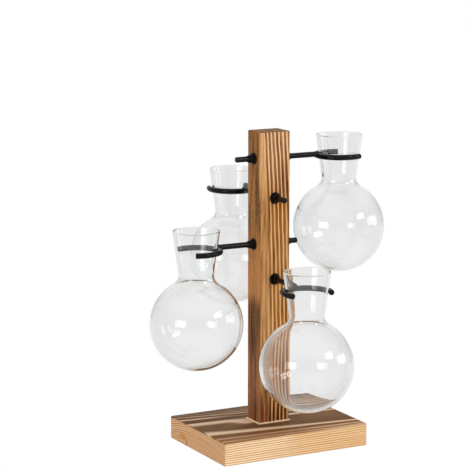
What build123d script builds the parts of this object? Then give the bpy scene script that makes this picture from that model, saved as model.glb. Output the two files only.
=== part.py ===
from build123d import *
import math
import os

# A wooden stand with four round glass vessels, each hung by its neck in a black wire ring.
# Millimetres, +Z up. The origin is the middle of the base board's underside.
# +X runs along the board's long side, and the arms leave the post along +X, +Y, -X and -Y.

# Base board
base_length = 140.0
base_width = 102.0
base_thickness = 20.0
base_edge_radius = 1.0

# Post, which stands in a shallow mortise in the base board
post_width = 29.0
post_depth = 22.0
post_edge_radius = 0.8
mortise_depth = 6.0
mortise_clearance = 0.2

# Glass vessel: a round bulb with a neck that widens towards the rim
bulb_diameter = 80.0
neck_length = 43.5
foot_diameter = 28.6
rim_diameter = 40.8
glass_wall = 1.8
shoulder_radius = 9.0
lip_share = 0.45

# Holder: a straight arm with a ring of wire welded on its end
rod_diameter = 4.8
wire_diameter = 4.8
ring_gap_angle = 124.0
hang_depth = 18.0
neck_clearance = 0.2
ring_drop = 1.8
weld_bite = 1.0
end_chamfer = 0.4

# Where the holders stand: the gaps around the vessels and the steps between the arms
bulb_to_base_gap = 22.6
bulb_to_post_gap = 15.5
tail_to_bulb_gap = 2.5
front_to_left_step = 30.0
left_to_back_step = 40.5
back_to_right_step = 33.5
post_above_top_arm = 23.5
long_tail = 17.5

# Rubber bush: a spigot in the post's hole, a flange on its face and a tapered nose on the arm
flange_lip = 2.6
flange_thickness = 1.4
nose_length = 4.6
nose_tip_wall = 0.6
nose_root_wall = 1.5
spigot_wall = 1.1
spigot_length = 6.0
rod_clearance = 0.05
spigot_clearance = 0.08
flange_clearance = 0.05

# Countersunk wood screws that hold the post from below
screw_diameter = 4.0
screw_length = 36.0
screw_tip_length = 6.0
screw_tip_diameter = 0.6
screw_head_diameter = 8.0
screw_head_height = 2.4
screw_head_recess = 0.6
screw_to_post_face = 7.5
screw_clearance = 0.05
cross_width = 1.1
cross_depth = 1.5

# A length that takes every cut clear of the faces it goes through
overrun = 2.0

# Sizes worked out from the ones above
bulb_radius = bulb_diameter / 2
foot_radius = foot_diameter / 2
rim_radius = rim_diameter / 2
rod_radius = rod_diameter / 2
wire_radius = wire_diameter / 2
foot_rise = math.sqrt(bulb_radius**2 - foot_radius**2)
rim_rise = foot_rise + neck_length
ring_rise = rim_rise - hang_depth
neck_taper_share = (rim_radius - foot_radius) / neck_length
neck_angle = math.atan(neck_taper_share)
neck_radius_in_ring = rim_radius - hang_depth * neck_taper_share
ring_radius = neck_radius_in_ring + (wire_radius + neck_clearance) / math.cos(neck_angle)
bush_bore_radius = rod_radius + rod_clearance
spigot_radius = rod_radius + spigot_wall
post_hole_radius = spigot_radius + spigot_clearance
ring_reach = bulb_radius + bulb_to_post_gap
short_tail = bulb_to_post_gap - tail_to_bulb_gap
front_arm_height = base_thickness + bulb_to_base_gap + bulb_radius + ring_rise + ring_drop
left_arm_height = front_arm_height + front_to_left_step
back_arm_height = left_arm_height + left_to_back_step
right_arm_height = back_arm_height + back_to_right_step
post_top = right_arm_height + post_above_top_arm
mortise_floor = base_thickness - mortise_depth
half_width = post_width / 2
half_depth = post_depth / 2

# Local frames of the solids: standing on a plane, or lying along +X
standing = (Align.CENTER, Align.CENTER, Align.MIN)
along_x = Rot(0, 90, 0)


def holders():
    """Each holder's heading from +X in degrees, its height, its post face's distance and its tail."""
    return {
        "right": (0, right_arm_height, half_width, long_tail),
        "back": (90, back_arm_height, half_depth, long_tail),
        "left": (180, left_arm_height, half_width, short_tail),
        "front": (270, front_arm_height, half_depth, short_tail),
    }


def screw_places():
    """The two places along the board's length where a screw goes up into the post."""
    offset = half_width - screw_to_post_face
    return {"left": -offset, "right": offset}


def base_board():
    """The board, with the post's mortise in its top and two countersunk holes from below."""
    board = Box(base_length, base_width, base_thickness, align=standing)
    board = fillet(board.edges(), base_edge_radius)
    mortise_width = post_width + 2 * mortise_clearance
    mortise_length = post_depth + 2 * mortise_clearance
    mortise = Box(mortise_width, mortise_length, mortise_depth + overrun, align=standing)
    board -= Pos(0, 0, mortise_floor) * mortise
    for place in screw_places().values():
        board -= Pos(place, 0, 0) * screw_hole()
    return board


def screw_hole():
    """What one screw needs cut: a shank hole, a countersink and the recess under its head."""
    head_radius = screw_head_diameter / 2 + screw_clearance
    shank_radius = screw_diameter / 2 + screw_clearance
    shank = Cylinder(shank_radius, screw_head_recess + screw_length + screw_clearance, align=standing)
    recess = Cylinder(head_radius, screw_head_recess + overrun, align=standing)
    countersink = Cone(head_radius, shank_radius, screw_head_height, align=standing)
    return shank + Pos(0, 0, -overrun) * recess + Pos(0, 0, screw_head_recess) * countersink


def post():
    """The rectangular post, bored through for the four arms and from below for the screws."""
    body = Box(post_width, post_depth, post_top - mortise_floor, align=standing)
    body = Pos(0, 0, mortise_floor) * body
    upright = body.edges().filter_by(Axis.Z)
    top = body.faces().sort_by(Axis.Z)[-1].edges()
    body = fillet(upright + top, post_edge_radius)
    for heading, height, face, tail in holders().values():
        bore = Cylinder(post_hole_radius, 2 * (face + overrun))
        body -= Pos(0, 0, height) * Rot(0, 0, heading) * along_x * bore
    for place in screw_places().values():
        body -= Pos(place, 0, 0) * screw_hole()
    return body


def post_screw(place):
    """A countersunk wood screw with a cross recess, its head just inside the board."""
    head_radius = screw_head_diameter / 2
    shank_radius = screw_diameter / 2
    shank_length = screw_length - screw_tip_length
    head = Cone(head_radius, shank_radius, screw_head_height, align=standing)
    shank = Cylinder(shank_radius, shank_length, align=standing)
    tip = Cone(shank_radius, screw_tip_diameter / 2, screw_tip_length, align=standing)
    screw = head + shank + Pos(0, 0, shank_length) * tip
    for turn in (0, 90):
        screw -= Rot(0, 0, turn) * Box(screw_diameter, cross_width, 2 * cross_depth)
    return Pos(place, 0, screw_head_recess) * screw


def place_holder(heading, height):
    """The frame of one holder: its arm along local +X, its origin on the post's axis."""
    return Pos(0, 0, height) * Rot(0, 0, heading)


def ring_wire(gap_angle):
    """The ring's wire about its own centre, open by gap_angle on the side away from the post."""
    section = Plane.XZ * Pos(ring_radius, 0) * Circle(wire_radius)
    wire = revolve(section, axis=Axis.Z, revolution_arc=360 - gap_angle)
    return Rot(0, 0, gap_angle / 2) * wire


def ring(face):
    """The open wire ring, a little below the arm's axis, with its two cut ends chamfered."""
    wire = ring_wire(ring_gap_angle)
    ends = wire.faces().filter_by(GeomType.PLANE)
    wire = chamfer(ends.edges(), end_chamfer)
    return Pos(face + ring_reach, 0, -ring_drop) * wire


def arm(face, tail):
    """The straight rod, from its free tail through the post to the ring, coped round the wire."""
    ring_side = face + ring_reach - ring_radius - wire_radius + weld_bite
    length = ring_side + face + tail
    rod = Cylinder(rod_radius, length, align=standing)
    rod = chamfer(rod.faces().sort_by(Axis.Z)[0].edges(), end_chamfer)
    rod = Pos(-face - tail, 0, 0) * along_x * rod
    whole_ring = Torus(ring_radius, wire_radius)
    return rod - Pos(face + ring_reach, 0, -ring_drop) * whole_ring


def bush(face):
    """A flanged rubber bush on the arm, its flange on the post's face at local +X."""
    flange_radius = rod_radius + flange_lip
    nose_root_radius = rod_radius + nose_root_wall
    nose_tip_radius = rod_radius + nose_tip_wall
    flange = Cylinder(flange_radius, flange_thickness, align=standing)
    flange = fillet(flange.faces().sort_by(Axis.Z)[-1].edges(), flange_thickness / 2)
    nose = Cone(nose_root_radius, nose_tip_radius, nose_length, align=standing)
    spigot = Cylinder(spigot_radius, spigot_length + flange_clearance, align=standing)
    body = flange + Pos(0, 0, flange_thickness) * nose
    body += Pos(0, 0, -spigot_length - flange_clearance) * spigot
    bore_length = spigot_length + flange_thickness + nose_length + 2 * overrun
    bore = Cylinder(bush_bore_radius, bore_length, align=standing)
    body -= Pos(0, 0, -spigot_length - overrun) * bore
    return Pos(face + flange_clearance, 0, 0) * along_x * body


def vessel_form(sphere_radius, foot, rim, corner_radius, top):
    """A solid of the vessel's outline: a sphere, a rounded shoulder and a neck up to the rim."""
    foot_height = math.sqrt(sphere_radius**2 - foot**2)
    outline = Polyline((0, -sphere_radius), (0, top), (rim, top), (foot, foot_height))
    round_side = ThreePointArc((foot, foot_height), (sphere_radius, 0), (0, -sphere_radius))
    profile = make_face(Plane.XZ * (outline + round_side))
    shoulder = profile.vertices().sort_by_distance((foot, 0, foot_height))[0]
    profile = fillet(shoulder, corner_radius)
    return revolve(profile, axis=Axis.Z)


def vessel(face):
    """The blown glass vessel about the ring's place, its lip rounded as if by a flame."""
    outside = vessel_form(bulb_radius, foot_radius, rim_radius, shoulder_radius, rim_rise)
    inside = vessel_form(
        bulb_radius - glass_wall,
        foot_radius - glass_wall,
        rim_radius - glass_wall + overrun * neck_taper_share,
        shoulder_radius + glass_wall,
        rim_rise + overrun,
    )
    glass = outside - inside
    lip = glass.faces().sort_by(Axis.Z)[-1].edges()
    glass = fillet(lip, glass_wall * lip_share)
    return Pos(face + ring_reach, 0, -ring_drop - ring_rise) * glass


def write(name, solid):
    """One file for one named piece."""
    export_step(solid, os.path.join("parts", name + ".step"))


os.makedirs("parts", exist_ok=True)
write("base_board", base_board())
write("post", post())
for side, place in screw_places().items():
    write("post_screw_" + side, post_screw(place))
for side, (heading, height, face, tail) in holders().items():
    frame = place_holder(heading, height)
    write("arm_" + side, frame * arm(face, tail))
    write("ring_" + side, frame * ring(face))
    write("bush_" + side + "_ring_side", frame * bush(face))
    write("bush_" + side + "_tail_side", frame * Rot(0, 0, 180) * bush(face))
    write("vessel_" + side, frame * vessel(face))
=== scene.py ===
import math
import bmesh
import bpy
from mathutils import Matrix, Vector, noise


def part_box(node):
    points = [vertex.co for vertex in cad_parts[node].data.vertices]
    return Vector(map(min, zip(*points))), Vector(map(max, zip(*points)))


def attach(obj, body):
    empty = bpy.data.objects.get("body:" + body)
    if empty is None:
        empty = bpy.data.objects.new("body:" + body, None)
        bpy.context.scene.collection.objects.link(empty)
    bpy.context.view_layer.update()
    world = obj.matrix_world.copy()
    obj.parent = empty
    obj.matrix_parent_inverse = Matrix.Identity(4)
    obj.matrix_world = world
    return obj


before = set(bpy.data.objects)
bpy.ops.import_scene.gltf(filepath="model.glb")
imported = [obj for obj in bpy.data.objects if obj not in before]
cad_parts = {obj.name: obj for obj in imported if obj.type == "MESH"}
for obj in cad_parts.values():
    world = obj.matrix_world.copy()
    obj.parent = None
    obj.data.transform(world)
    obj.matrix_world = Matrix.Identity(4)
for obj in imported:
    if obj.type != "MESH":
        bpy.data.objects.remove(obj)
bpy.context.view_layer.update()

# The looks of a wooden stand with four glass vessels in black wire rings.
# Metres, +Z up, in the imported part's frame. Surface patterns are counted in millimetres, and a pair of
# places in them is where a mark begins and where it is full. In a sum of marks, the number before each
# is how much it counts.
mm = 0.001
white = (1.0, 1.0, 1.0, 1.0)
headings = {"right": 0, "back": 90, "left": 180, "front": 270}

# Camera, fitted to the photograph, its lens and sensor in millimetres
camera_place = Vector((-0.829125, -1.493112, 0.485982))
camera_aim = Vector((-0.023763, 0.016978, 0.183276))
camera_lens = 154.19
camera_sensor = 36.0

# Floor of the stage
floor_radius = 60.0
floor_sides = 96
floor_drop = 0.05 * mm
floor_white = 0.80

# Sky: the light of its ceiling and wall, and the heights on a unit sphere where they meet
ceiling_light = 1.12
wall_light = 0.66
wall_top = 0.30
ceiling_edge = 0.75

# Lamps: the place, width, height and watts of each, and the point that all of them face
lamps = {
    "key_box": ((1.1, -2.1, 1.3), 0.5, 0.5, 8),
    "left_window": ((-2.1, -1.0, 0.55), 0.9, 0.6, 7),
    "right_window": ((1.9, -1.2, 0.55), 0.6, 0.6, 4),
}
lamp_aim = Vector((0, 0, 0.14))

# Glue line round the foot of the post
bead_height = 1.3 * mm
bead_reach = 1.1 * mm
bead_sink = 0.3 * mm
bead_ripple = 0.16 * mm
bead_ripple_length = 3 * mm
bead_cuts = 22
bead_rounding = 0.8 * bead_reach
bead_rounding_steps = 4
bead_edge_angle = math.radians(60)

# Weld between an arm and its ring
weld_length = 3.4 * mm
weld_width = 5.6 * mm
weld_height = 4.4 * mm
weld_ripple = 0.12 * mm
weld_ripple_length = 1.2 * mm
weld_lap = 0.4
weld_fineness = 4

# Depth of the fine relief on each surface
post_relief = 0.16 * mm
board_relief = 0.14 * mm
glue_relief = 0.1 * mm
paint_relief = 0.03 * mm
rubber_relief = 0.03 * mm
glass_relief = 0.12 * mm

# Glass: how much it bends light, the tint and density of its depth, and what passes straight
glass_index = 1.47
glass_tint = (0.80, 0.84, 0.83, 1.0)
glass_density = 32.0
glass_pass = (0.95, 0.96, 0.96, 1.0)


def srgb(red, green, blue):
    """A screen colour from 0 to 255 as the linear colour that a shader takes."""
    def linear(level):
        share = level / 255
        return share / 12.92 if share <= 0.04045 else ((share + 0.055) / 1.055) ** 2.4
    return (linear(red), linear(green), linear(blue), 1.0)


class Value:
    """A socket in a finish. Arithmetic on it adds Math nodes."""

    def __init__(self, finish, socket):
        self.finish = finish
        self.socket = socket

    def __add__(self, other):
        return self.finish.math("ADD", self, other)

    def __radd__(self, other):
        return self.finish.math("ADD", other, self)

    def __sub__(self, other):
        return self.finish.math("SUBTRACT", self, other)

    def __rsub__(self, other):
        return self.finish.math("SUBTRACT", other, self)

    def __mul__(self, other):
        return self.finish.math("MULTIPLY", self, other)

    def __rmul__(self, other):
        return self.finish.math("MULTIPLY", other, self)

    def __truediv__(self, other):
        return self.finish.math("DIVIDE", self, other)

    def __pow__(self, other):
        return self.finish.math("POWER", self, other)

    def __abs__(self):
        return self.finish.math("ABSOLUTE", self)


class Finish:
    """The nodes of a material, or of the sky."""

    def __init__(self, owner):
        self.owner = owner
        owner.use_nodes = True
        self.tree = owner.node_tree
        self.tree.nodes.clear()

    def node(self, kind, settings, inputs, output=0):
        """Adds a node: its settings first, then a value or a link for each socket named."""
        made = self.tree.nodes.new("ShaderNode" + kind)
        for name, setting in settings.items():
            setattr(made, name, setting)
        for name, value in inputs.items():
            if isinstance(value, Value):
                self.tree.links.new(value.socket, made.inputs[name])
            else:
                made.inputs[name].default_value = value
        return None if output is None else Value(self, made.outputs[output])

    def math(self, operation, *values):
        """A Math node."""
        return self.node("Math", {"operation": operation}, dict(enumerate(values)))

    def millimetres(self):
        """Where a point of the object is, in millimetres, as three values."""
        coordinates = self.node("TexCoord", {}, {}, output="Object")
        scaled = self.node("Mapping", {}, {"Vector": coordinates, "Scale": (1 / mm,) * 3})
        return [self.node("SeparateXYZ", {}, {"Vector": scaled}, output=axis) for axis in range(3)]

    def noise(self, place, size, detail=3.0, roughness=0.55, seed=0.0):
        """Noise about 0, mostly within a half either way. The size of its features is given each way."""
        scaled = [along / length for along, length in zip(place, size)]
        vector = self.node("CombineXYZ", {}, dict(enumerate(scaled)))
        inputs = {"Vector": vector, "W": seed, "Scale": 1.0, "Detail": detail, "Roughness": roughness}
        return self.node("TexNoise", {"noise_dimensions": "4D"}, inputs) - 0.5

    def step(self, value, low, high):
        """0 below low and 1 above high, with a smooth rise. It falls where low is the greater."""
        inputs = {"Value": value, "From Min": low, "From Max": high}
        return self.node("MapRange", {"interpolation_type": "SMOOTHSTEP"}, inputs)

    def near(self, value, middle, reach, core):
        """1 within core of the middle and 0 beyond reach of it."""
        return self.step(abs(value - middle), reach, core)

    def between(self, value, start, full_from, full_to, end):
        """1 from full_from to full_to, and 0 below start and above end."""
        return self.step(value, end, full_to) * self.step(value, start, full_from)

    def skin(self, value, face, deep, full):
        """1 in the skin under a face. It begins at one depth and is full at a lesser one."""
        return self.step(value, face - deep, face - full)

    def dice(self, number):
        """A steady random value from 0 to 1 for each whole number."""
        return self.node("TexWhiteNoise", {"noise_dimensions": "1D"}, {"W": number})

    def blend(self, share, first, second, mode="MIX"):
        """Two colours mixed. The node's sockets 6 and 7 take them, and its output 2 is the result."""
        settings = {"data_type": "RGBA", "blend_type": mode}
        return self.node("Mix", settings, {0: share, 6: first, 7: second}, output=2)

    def bump(self, height, depth):
        """A normal from a height of 0 to 1 that stands for a depth in metres."""
        return self.node("Bump", {}, {"Strength": 1.0, "Distance": depth, "Height": height})

    def surface(self, inputs):
        """Ends a material with a Principled shader."""
        shader = self.node("BsdfPrincipled", {}, inputs)
        self.node("OutputMaterial", {}, {"Surface": shader}, output=None)
        return self.owner


def post_stripes(wood, place, left, fine, streak, spared):
    """How pale the two striped faces of the post are, and where their broad ring lies.

    The rings stand across the post. They lean at the top and straighten downwards.
    """
    x, y, z = place
    ring_width = 3.8
    first_ring = 12.9
    lean_start = 80.0
    lean_rate = 0.000154
    slant = 0.05
    bow_length = 160.0
    drift_width = 2.2
    wobble_width = 1.1
    drift = wood.noise(place, size=(14, 14, 60), detail=2, seed=1.0)
    wobble = wood.noise(place, size=(5, 5, 16), detail=2, seed=9.0)
    lean = lean_rate * (z - lean_start) ** 2
    depth = x - left + lean + slant * y + y * y / bow_length
    depth = depth + drift_width * drift + wobble_width * wobble
    rings = (depth - first_ring) / ring_width + 0.5 + 0.2 * fine
    number = wood.math("FLOOR", rings)
    phase = rings - number
    luck = wood.dice(number)

    # Each ring is a pale band, edged a little differently each time, on a shade that comes and goes
    calm = wood.near(z, middle=140, reach=72, core=46)
    fade = wood.noise(place, size=(4, 4, 26), detail=2, seed=10.0)
    shade = 0.02 + 0.11 * calm + 0.8 * fade
    band_begins = 0.14 + 0.14 * luck
    band_ends = 0.86 - 0.16 * luck
    rise = wood.step(phase, band_begins, 0.46)
    fall = wood.step(phase, band_ends, 0.60)
    paleness = 0.82 + 0.24 * luck
    stripe = shade + (paleness - shade) * rise * fall + 0.40 * streak

    # The ring at the left is broad: plain at the top, with a flame figure lower down
    broad_edge = (10.9, 9.9)
    figure_heights = (236, 206)
    swirl = wood.noise(place, size=(2.6, 2.6, 30), detail=3, seed=7.0)
    hair = wood.noise(place, size=(0.7, 0.7, 60), detail=3, roughness=0.7, seed=17.0)
    broad = wood.step(depth + 1.5 * fine, *broad_edge)
    figure = wood.step(z, *figure_heights)
    plain = 0.62 + 0.60 * streak + 2.2 * hair
    flame = 0.30 + 0.14 * spared + 0.25 * stripe + 1.5 * swirl + 0.5 * streak + 1.3 * hair
    stripe = stripe + broad * (plain + figure * (flame - plain) - stripe)
    return stripe, broad


def post_front(wood, z, stripe, broad):
    """The colour of the two striped faces, paler at the top than further down."""
    fresh_pale = srgb(255, 208, 158)
    fresh_broad = srgb(252, 200, 136)
    fresh_dark = srgb(134, 84, 42)
    aged_pale = srgb(240, 181, 117)
    aged_dark = srgb(121, 68, 16)
    aging_heights = (258, 208)
    aged = wood.step(z, *aging_heights)
    young = wood.blend(0.8 * broad, fresh_pale, fresh_broad)
    pale = wood.blend(aged, young, aged_pale)
    dark = wood.blend(aged, fresh_dark, aged_dark)
    return wood.blend(stripe, dark, pale)


def post_side(wood, place, speck, uneven_height):
    """The colour of the two side faces, which have one ring across them and are browner."""
    _, y, z = place
    dark = srgb(72, 38, 10)
    pale = srgb(174, 120, 63)
    flat = wood.noise(place, size=(3, 1.8, 34), detail=5, roughness=0.7, seed=4.0)
    saw_mark = wood.noise(place, size=(9, 6, 1.0), detail=2, seed=15.0)
    band = wood.noise(place, size=(9, 4, 60), detail=2, seed=16.0)
    figure = flat + 0.65 * speck + 0.15 * saw_mark + 1.1 * band
    colour = wood.blend(wood.step(figure, -0.30, 0.30), dark, pale)

    # One warm zone, with soft ends
    warm_colour = srgb(212, 142, 80)
    warm_heights = (118, 136, 160, 204)
    warm = wood.between(uneven_height, *warm_heights)
    colour = wood.blend((0.60 + 0.8 * speck) * warm, colour, warm_colour)

    # Paler along the front corner near the top: partly where the torch spared it, partly a painted
    # highlight on the rounded edge
    spared_and_highlight_colour = srgb(222, 168, 106)
    corner_from = (-8.6, -9.8)
    corner_heights = (206, 242)
    spared = wood.step(y + 1.2 * flat, *corner_from) * wood.step(z, *corner_heights)
    colour = wood.blend(0.8 * spared, colour, spared_and_highlight_colour)

    # A redder tint lower down
    red_tint = (0.023, 0.0, 0.011, 1.0)
    red_heights = (100, 60)
    return wood.blend(wood.step(z, *red_heights), colour, red_tint, mode="ADD")


def torched_post():
    """Quarter-sawn pine, torched and brushed: stripes on two faces, plain grain on the other two."""
    low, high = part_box("post")
    left = low.x / mm
    half_width = high.x / mm
    top = high.z / mm
    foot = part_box("base_board")[1].z / mm
    wood = Finish(bpy.data.materials.new("torched_post_wood"))
    place = wood.millimetres()
    x, _, z = place

    # Grain and patches that several marks share
    fine = wood.noise(place, size=(0.9, 0.9, 26), detail=4, seed=2.0)
    streak = wood.noise(place, size=(1.0, 1.0, 45), detail=4, roughness=0.65, seed=3.0)
    speck = wood.noise(place, size=(0.8, 0.8, 2.6), detail=2, roughness=0.7, seed=5.0)
    patch = wood.noise(place, size=(20, 12, 34), detail=2, seed=8.0)
    uneven_height = z + 24 * patch
    spared = wood.near(z, middle=120, reach=36, core=14)
    stripe, broad = post_stripes(wood, place, left, fine, streak, spared)

    # The striped faces, the side faces and the end grain on top
    end_dark = srgb(88, 58, 34)
    end_pale = srgb(160, 114, 72)
    side = wood.skin(abs(x), half_width, deep=0.75, full=0.35)
    end = wood.skin(z, top, deep=0.7, full=0.3)
    end_grain = wood.blend(wood.step(speck + 0.35 * stripe, -0.15, 0.5), end_dark, end_pale)
    front_colour = post_front(wood, z, stripe, broad)
    side_colour = post_side(wood, place, speck, uneven_height)
    colour = wood.blend(side, front_colour, side_colour)
    colour = wood.blend(end, colour, end_grain)

    # Scorch: thin clouds all over, one dark belt on the sides, and most just above the board
    scorch_tint = (0.37, 0.215, 0.17, 1.0)
    belt_heights = (48, 98, 116, 136)
    head_heights = (238, 262)
    singe_from = (0, 9)
    toe_heights = (foot + 44, foot + 4)
    cloud = wood.noise(place, size=(30, 30, 45), detail=3, seed=6.0)
    belt = wood.between(uneven_height, *belt_heights)
    toe = wood.step(z + 24 * cloud, *toe_heights)
    singe = wood.near(z, middle=232, reach=20, core=5) * wood.step(x, *singe_from)
    head = wood.step(z, *head_heights)
    front_scorch = 0.06 + 0.35 * cloud + 0.55 * singe * (1.25 - stripe) - 0.10 * spared
    front_scorch = front_scorch + 0.75 * toe * (1.2 - stripe + 0.6 * broad)
    side_scorch = 0.04 + 0.20 * cloud + 0.16 * head + 0.46 * belt + 0.20 * toe * (1 + 3 * speck)
    scorch = front_scorch + side * (side_scorch - front_scorch)
    burnt = wood.blend(1.0, colour, scorch_tint, mode="MULTIPLY")

    grain = 0.65 * stripe + 0.5 * fine + 0.2 * streak
    return wood.surface({
        "Base Color": wood.blend(scorch, colour, burnt),
        "Roughness": 0.55 + 0.12 * stripe + 0.2 * fine,
        "Specular IOR Level": 0.12,
        "Normal": wood.bump(grain, post_relief),
    })


def board_rings(wood, place, top, slow, fine):
    """Where a point lies in its ring, from 0 to 1, and a random value of that ring's own.

    The rings arch over a line a little in front of the middle, which runs slightly askew.
    On the top the innermost ring lies open between two pale lines, wider towards the right.
    """
    x, y, z = place
    ring_width = 1.95
    arch_middle = -9.5 - 0.10 * x
    open_half = 18.5 + 0.025 * x
    ring_area = 720 - 4.2 * x
    innermost = -0.60
    ring_seed = 7
    offset = y - arch_middle
    arch = wood.math("MAXIMUM", (offset * offset - open_half * open_half) / ring_area, innermost)
    crowding = 1 + 0.16 * wood.math("MAXIMUM", arch, 0.0)

    # A flare bends the rings beside the post
    flare_middle_x = -18
    flare_middle_y = 2
    flare_length = 13
    flare_width = 9
    flare_x = (x - flare_middle_x) / flare_length
    flare_y = (y - flare_middle_y) / flare_width
    flare = wood.math("EXPONENT", 0 - flare_x * flare_x - flare_y * flare_y)
    rings = arch * crowding + 0.32 * flare + (z - top) / ring_width + 0.22 * slow + 0.05 * fine
    number = wood.math("FLOOR", rings)
    return rings - number, wood.dice(number + ring_seed)


def raw_edges(wood, place, half_length, phase, luck, fine, cloud):
    """Raw wood with a thin darker line at each ring, browner and with fine pores on the two ends."""
    x, y, z = place
    left_sapwood = srgb(255, 226, 186)
    right_sapwood = srgb(245, 206, 158)
    line_colour = srgb(198, 142, 84)
    cloud_colour = srgb(216, 166, 112)
    sapwood_turns = (-14, 4)
    line = wood.step(phase + 0.3 * fine, 0.35, 0.75) * wood.step(phase, 1.0, 0.90)
    sapwood = wood.blend(wood.step(x, *sapwood_turns), left_sapwood, right_sapwood)
    long_edge = wood.blend(line * (0.65 + 0.35 * luck), sapwood, line_colour)
    long_edge = wood.blend(0.5 * wood.step(cloud + 0.3 * fine, -0.1, 0.35), long_edge, cloud_colour)

    # The two ends
    end_sapwood = srgb(226, 180, 134)
    end_line_colour = srgb(160, 108, 64)
    pore_colour = srgb(184, 132, 86)
    pore = wood.noise(place, size=(0.5, 0.5, 0.5), detail=2, seed=13.0)
    end = wood.blend(line * (0.6 + 0.4 * luck), end_sapwood, end_line_colour)
    end = wood.blend(0.5 * wood.step(pore, -0.1, 0.3), end, pore_colour)

    # One end has a small dark check with amber resin beside it
    resin_colour = srgb(200, 128, 58)
    check_colour = srgb(66, 42, 24)
    check_middle = 20.0
    check_heights = (7.0, 4.5)
    resin_beside_check = 7
    resin_height = 7
    resin_half_width = 9
    resin_half_height = 3
    left_end_depth = 0.5
    left_end = wood.step(x, left_end_depth - half_length, -half_length)
    resin_y = (y - check_middle - resin_beside_check) / resin_half_width
    resin_z = (z - resin_height) / resin_half_height
    resin = wood.step(resin_y * resin_y + resin_z * resin_z + 1.2 * pore, 1.0, 0.1)
    check = wood.near(y + 0.8 * pore, check_middle, reach=0.9, core=0.25)
    check = check * wood.step(z, *check_heights)
    end = wood.blend(0.75 * resin * left_end, end, resin_colour)
    end = wood.blend(0.85 * check * left_end, end, check_colour)
    return wood.blend(wood.skin(abs(x), half_length, deep=0.9, full=0.4), long_edge, end)


def torched_top(wood, place, pale_line, back_edge, behind_post, slow, fine, cloud):
    """The torched top: char everywhere but along the pale lines, and a browner strip in front."""
    x, y, _ = place
    brown_char = srgb(88, 54, 24)
    pale_char = srgb(134, 98, 62)
    red_char = srgb(126, 74, 30)
    front_char = srgb(150, 104, 60)
    middle_char = srgb(94, 52, 30)
    back_char = srgb(80, 54, 32)
    dark_tan = srgb(208, 172, 140)
    pale_tan = srgb(228, 196, 162)
    red_strip_begins = (-26, -31)
    front_strip_begins = (-40, -44)
    red_strip = wood.step(y, *red_strip_begins)
    front_strip = wood.step(y + 0.03 * x, *front_strip_begins)
    in_front_of_post = wood.near(x, middle=-20, reach=34, core=4)
    in_front_of_post = in_front_of_post * wood.near(y, middle=-15, reach=11, core=3)
    char = wood.blend(wood.step(fine + 0.7 * cloud, -0.35, 0.35), brown_char, pale_char)
    char = wood.blend(0.6 * red_strip, char, red_char)
    char = wood.blend(0.8 * front_strip, char, front_char)
    char = wood.blend(0.7 * in_front_of_post, char, middle_char)
    char = wood.blend(0.6 * behind_post + 0.75 * back_edge, char, back_char)
    tan = wood.blend(wood.step(fine + 0.5 * slow, -0.3, 0.3), dark_tan, pale_tan)
    return wood.blend(pale_line, char, tan)


def torched_board():
    """Slab-sawn pine: raw on its sides, its top torched dark between pale lines."""
    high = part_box("base_board")[1]
    top = high.z / mm
    half_length = high.x / mm
    wood = Finish(bpy.data.materials.new("torched_base_wood"))
    place = wood.millimetres()
    x, y, z = place
    slow = wood.noise(place, size=(60, 26, 40), detail=2, roughness=0.45, seed=11.0)
    fine = wood.noise(place, size=(30, 0.8, 0.8), detail=4, seed=12.0)
    cloud = wood.noise(place, size=(40, 18, 18), detail=3, seed=14.0)
    phase, luck = board_rings(wood, place, top, slow, fine)

    # Pale lines follow the rings, and are fainter at the back, at the front left and behind the post
    back_edge_from = (24, 50)
    front_from = (-33, -39)
    left_of_front = (34, 2)
    left_of_back = (40, -10)
    back_edge = wood.step(y, *back_edge_from)
    front_left = wood.step(y + 0.04 * x, *front_from) * wood.step(x, *left_of_front)
    behind_post = wood.near(y, middle=22.5, reach=5.5, core=3.5) * wood.step(x, *left_of_back)
    clear = 1 - 0.7 * back_edge - 0.5 * front_left - 0.7 * behind_post
    off_line = wood.math("MINIMUM", phase, 1 - phase)
    pale_line = wood.step(off_line + 0.10 * fine, 0.26, 0.05) * clear

    # The torch went a little way over the edges, and further at the back
    raw = raw_edges(wood, place, half_length, phase, luck, fine, cloud)
    torched = torched_top(wood, place, pale_line, back_edge, behind_post, slow, fine, cloud)
    back_corner = (46, 49)
    spill = 1.1 * wood.step(y, *back_corner)
    torch_reach = wood.skin(z + spill + 0.9 * cloud + 0.5 * fine, top, deep=1.1, full=0.45)

    grain = 0.5 * pale_line + 0.6 * fine
    return wood.surface({
        "Base Color": wood.blend(torch_reach, raw, torched),
        "Roughness": 0.62 - 0.1 * pale_line + 0.2 * fine,
        "Specular IOR Level": 0.10,
        "Normal": wood.bump(grain, board_relief),
    })


def glue_line():
    """Dried glue with raw wood dust in it."""
    dull = srgb(214, 170, 128)
    bright = srgb(244, 214, 176)
    glue = Finish(bpy.data.materials.new("dried_glue"))
    blot = glue.noise(glue.millimetres(), size=(4, 4, 4), detail=4, seed=21.0)
    return glue.surface({
        "Base Color": glue.blend(glue.step(blot, -0.25, 0.25), dull, bright),
        "Roughness": 0.52 + 0.3 * blot,
        "Normal": glue.bump(blot, glue_relief),
    })


def black_paint():
    """Gloss black paint on steel wire, with a faint orange peel."""
    black = srgb(4, 4, 4)
    worn_black = srgb(10, 9, 9)
    paint = Finish(bpy.data.materials.new("gloss_black_paint"))
    place = paint.millimetres()
    peel = paint.noise(place, size=(0.8, 0.8, 0.8), detail=2, seed=31.0)
    cloud = paint.noise(place, size=(9, 9, 9), detail=3, seed=32.0)
    return paint.surface({
        "Base Color": paint.blend(paint.step(cloud, -0.3, 0.3), black, worn_black),
        "Roughness": 0.12 + 0.10 * cloud,
        "Specular IOR Level": 0.17,
        "Normal": paint.bump(peel, paint_relief),
    })


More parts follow.
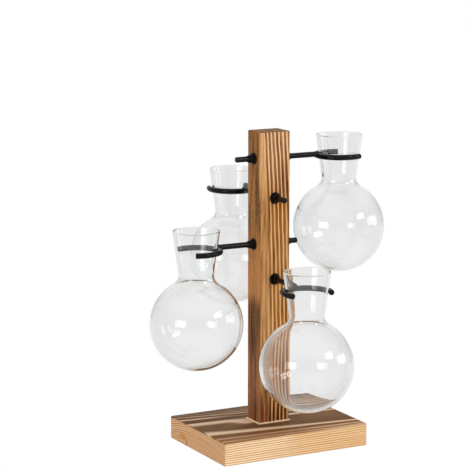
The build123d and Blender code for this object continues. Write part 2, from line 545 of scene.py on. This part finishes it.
def black_rubber():
    """Moulded black rubber with a soft sheen."""
    clean = srgb(4, 4, 4)
    dusty = srgb(12, 10, 9)
    rubber = Finish(bpy.data.materials.new("moulded_black_rubber"))
    place = rubber.millimetres()
    pebble = rubber.noise(place, size=(0.35, 0.35, 0.35), detail=2, seed=41.0)
    dust = rubber.noise(place, size=(3, 3, 3), detail=4, seed=42.0)
    return rubber.surface({
        "Base Color": rubber.blend(rubber.step(dust, -0.2, 0.35), clean, dusty),
        "Roughness": 0.32 + 0.2 * dust,
        "Specular IOR Level": 0.11,
        "Normal": rubber.bump(pebble, rubber_relief),
    })


def zinc_steel():
    """Bright zinc plating, slightly clouded."""
    dull = srgb(168, 166, 158)
    bright = srgb(206, 205, 200)
    zinc = Finish(bpy.data.materials.new("zinc_plated_steel"))
    cloud = zinc.noise(zinc.millimetres(), size=(1.5, 1.5, 1.5), detail=4, seed=51.0)
    return zinc.surface({
        "Base Color": zinc.blend(zinc.step(cloud, -0.3, 0.3), dull, bright),
        "Metallic": 1.0,
        "Roughness": 0.32 + 0.2 * cloud,
    })


def clear_glass():
    """Clear blown glass with hardly visible waves. It is greyer where the eye looks along the wall.

    Light caught in the wall goes straight out at its next surface, as it would after many more.
    """
    glass = Finish(bpy.data.materials.new("clear_blown_glass"))
    wave = glass.noise(glass.millimetres(), size=(16, 16, 22), detail=1, seed=61.0)
    wall = glass.node("BsdfPrincipled", {}, {
        "Base Color": white,
        "Roughness": 0.0,
        "IOR": glass_index,
        "Transmission Weight": 1.0,
        "Normal": glass.bump(wave, glass_relief),
    })
    is_shadow = glass.node("LightPath", {}, {}, output="Is Shadow Ray")
    is_reflection = glass.node("LightPath", {}, {}, output="Is Reflection Ray")
    straight = glass.node("BsdfTransparent", {}, {"Color": glass_pass})
    seen = glass.node("MixShader", {}, {0: is_reflection, 1: wall, 2: straight})
    surface = glass.node("MixShader", {}, {0: is_shadow, 1: seen, 2: straight})
    depth = glass.node("VolumeAbsorption", {}, {"Color": glass_tint, "Density": glass_density})
    glass.node("OutputMaterial", {}, {"Surface": surface, "Volume": depth}, output=None)
    return glass.owner


def mesh_data(name, mesh, material):
    """What a bmesh holds, as a mesh in one material."""
    data = bpy.data.meshes.new(name)
    mesh.to_mesh(data)
    mesh.free()
    data.materials.append(material)
    return data


def put_in_scene(name, data):
    """A new object in the scene, with this data."""
    made = bpy.data.objects.new(name, data)
    bpy.context.scene.collection.objects.link(made)
    return made


def facing(place, target):
    """The turn of a lamp or camera that looks from a place at a target."""
    return (target - place).to_track_quat("-Z", "Y").to_euler()


def piece(name, mesh, material, body):
    """Turns a bmesh into a finished, smoothly shaded piece that rides on a body."""
    data = mesh_data(name, mesh, material)
    data.polygons.foreach_set("use_smooth", [True] * len(data.polygons))
    made = put_in_scene(name, data)
    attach(made, body)


def repaint(node, material):
    """Gives a carried-over node its finish."""
    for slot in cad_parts[node].material_slots:
        slot.material = material


def is_outside(place, half):
    """Whether a place lies outside the post's section."""
    return abs(place.x) > half.x + bead_reach / 2 or abs(place.y) > half.y + bead_reach / 2


def foot_bead(material):
    """The pale line of dried glue round the foot of the post, where it stands on the board."""
    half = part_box("post")[1].xy
    board_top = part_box("base_board")[1].z
    outer = half + Vector((bead_reach, bead_reach))

    # A flat frame round the post, cut into short lengths and raised
    mesh = bmesh.new()
    bmesh.ops.create_grid(mesh, x_segments=1, y_segments=1, size=1)
    bmesh.ops.scale(mesh, vec=(outer.x, outer.y, 1), verts=mesh.verts)
    bmesh.ops.inset_region(
        mesh, faces=mesh.faces[:], thickness=bead_reach + bead_sink,
        use_boundary=True, use_even_offset=True,
    )
    middle = min(mesh.faces, key=lambda face: face.calc_center_median().length)
    bmesh.ops.delete(mesh, geom=[middle], context="FACES")
    along = [edge for edge in mesh.edges if edge.calc_length() > half.y]
    bmesh.ops.subdivide_edges(mesh, edges=along, cuts=bead_cuts, use_grid_fill=True)
    raised = bmesh.ops.extrude_face_region(mesh, geom=mesh.faces[:])["geom"]
    lifted = [item for item in raised if isinstance(item, bmesh.types.BMVert)]
    bmesh.ops.translate(mesh, vec=(0, 0, bead_height), verts=lifted)
    bmesh.ops.recalc_face_normals(mesh, faces=mesh.faces)

    # Its upper outer edge is rounded, and the outside ripples a little
    shoulder = [
        edge for edge in mesh.edges
        if edge.calc_face_angle(0) > bead_edge_angle
        and all(is_outside(vert.co, half) and vert.co.z > bead_height / 2 for vert in edge.verts)
    ]
    bmesh.ops.bevel(
        mesh, geom=shoulder, offset=bead_rounding, segments=bead_rounding_steps,
        profile=0.5, affect="EDGES", material=-1,
    )
    for vert in mesh.verts:
        if is_outside(vert.co, half):
            swell = bead_ripple * noise.noise(vert.co / bead_ripple_length)
            vert.co.x += math.copysign(swell, vert.co.x) if abs(vert.co.x) > half.x else 0
            vert.co.y += math.copysign(swell, vert.co.y) if abs(vert.co.y) > half.y else 0
    bmesh.ops.translate(mesh, vec=(0, 0, board_top), verts=mesh.verts)
    piece("foot_glue_bead", mesh, material, "stand")


def weld(side, material):
    """A small rounded bead where an arm's end is welded over its ring."""
    arm_low, arm_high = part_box("arm_" + side)
    ring_low, ring_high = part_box("ring_" + side)
    arm_height = (arm_low.z + arm_high.z) / 2
    ring_height = (ring_low.z + ring_high.z) / 2
    wire_radius = (ring_high.z - ring_low.z) / 2
    reach = max(abs(extent) for extent in (*arm_low.xy, *arm_high.xy))
    mesh = bmesh.new()
    bmesh.ops.create_icosphere(mesh, subdivisions=weld_fineness, radius=0.5)
    bmesh.ops.scale(mesh, vec=(weld_length, weld_width, weld_height), verts=mesh.verts)
    for vert in mesh.verts:
        swell = weld_ripple * noise.noise(vert.co / weld_ripple_length)
        vert.co += vert.co.normalized() * swell
    arm_end = Vector((reach - wire_radius * weld_lap, 0, (arm_height + ring_height) / 2))
    bmesh.ops.translate(mesh, vec=arm_end, verts=mesh.verts)
    turn = Matrix.Rotation(math.radians(headings[side]), 4, "Z")
    bmesh.ops.transform(mesh, matrix=turn, verts=mesh.verts)
    piece("weld_bead_" + side, mesh, material, "holder_" + side)


def stage_floor():
    """A wide pale floor, cut out to plain white in front of the camera."""
    ground = Finish(bpy.data.materials.new("pale_floor"))
    matt = ground.node("BsdfDiffuse", {}, {"Color": (floor_white, floor_white, floor_white, 1.0)})
    plain = ground.node("Emission", {}, {"Color": white, "Strength": 1.0})
    is_camera = ground.node("LightPath", {}, {}, output="Is Camera Ray")
    seen = ground.node("MixShader", {}, {0: is_camera, 1: matt, 2: plain})
    ground.node("OutputMaterial", {}, {"Surface": seen}, output=None)
    mesh = bmesh.new()
    bmesh.ops.create_circle(mesh, cap_ends=True, segments=floor_sides, radius=floor_radius)
    bmesh.ops.translate(mesh, vec=(0, 0, -floor_drop), verts=mesh.verts)
    floor = put_in_scene("floor", mesh_data("floor", mesh, ground.owner))


def softbox(name, place, width, height, power):
    """A rectangular lamp that faces the object."""
    light = bpy.data.lights.new(name, "AREA")
    light.shape = "RECTANGLE"
    light.size = width
    light.size_y = height
    light.energy = power
    lamp = put_in_scene(name, light)
    lamp.location = place
    lamp.rotation_euler = facing(Vector(place), lamp_aim)


def studio_sky():
    """A bright ceiling over a dimmer belt of wall, all plain white to the eye of the camera."""
    sky = Finish(bpy.data.worlds.new("studio"))
    direction = sky.node("TexCoord", {}, {}, output="Generated")
    height = sky.node("SeparateXYZ", {}, {"Vector": direction}, output="Z")
    ceiling = sky.step(height, wall_top, ceiling_edge)
    level = wall_light + (ceiling_light - wall_light) * ceiling
    light = sky.node("Background", {}, {"Color": white, "Strength": level})
    plain = sky.node("Background", {}, {"Color": white, "Strength": 1.0})
    is_camera = sky.node("LightPath", {}, {}, output="Is Camera Ray")
    seen = sky.node("MixShader", {}, {0: is_camera, 1: light, 2: plain})
    sky.node("OutputWorld", {}, {"Surface": seen}, output=None)
    bpy.context.scene.world = sky.owner


def photo_camera():
    """The camera at the photograph's viewing angle."""
    data = bpy.data.cameras.new("photo_camera")
    data.lens = camera_lens
    data.sensor_width = camera_sensor
    camera = put_in_scene("photo_camera", data)
    camera.location = camera_place
    camera.rotation_euler = facing(camera_place, camera_aim)
    bpy.context.scene.camera = camera


def studio():
    """Floor, light and camera."""
    stage_floor()
    studio_sky()
    for name, (place, width, height, power) in lamps.items():
        softbox(name, place, width, height, power)
    photo_camera()
    bpy.context.scene.view_settings.view_transform = "Standard"


def dress():
    """Every piece gets its finish, and the small pieces that only the looks need are added."""
    repaint("post", torched_post())
    repaint("base_board", torched_board())
    steel = zinc_steel()
    for node in ("post_screw_left", "post_screw_right"):
        repaint(node, steel)
    paint = black_paint()
    rubber = black_rubber()
    glass = clear_glass()
    for side in headings:
        repaint("arm_" + side, paint)
        repaint("ring_" + side, paint)
        repaint("bush_" + side + "_ring_side", rubber)
        repaint("bush_" + side + "_tail_side", rubber)
        repaint("vessel_" + side, glass)
        weld(side, paint)
    foot_bead(glue_line())


dress()
studio()
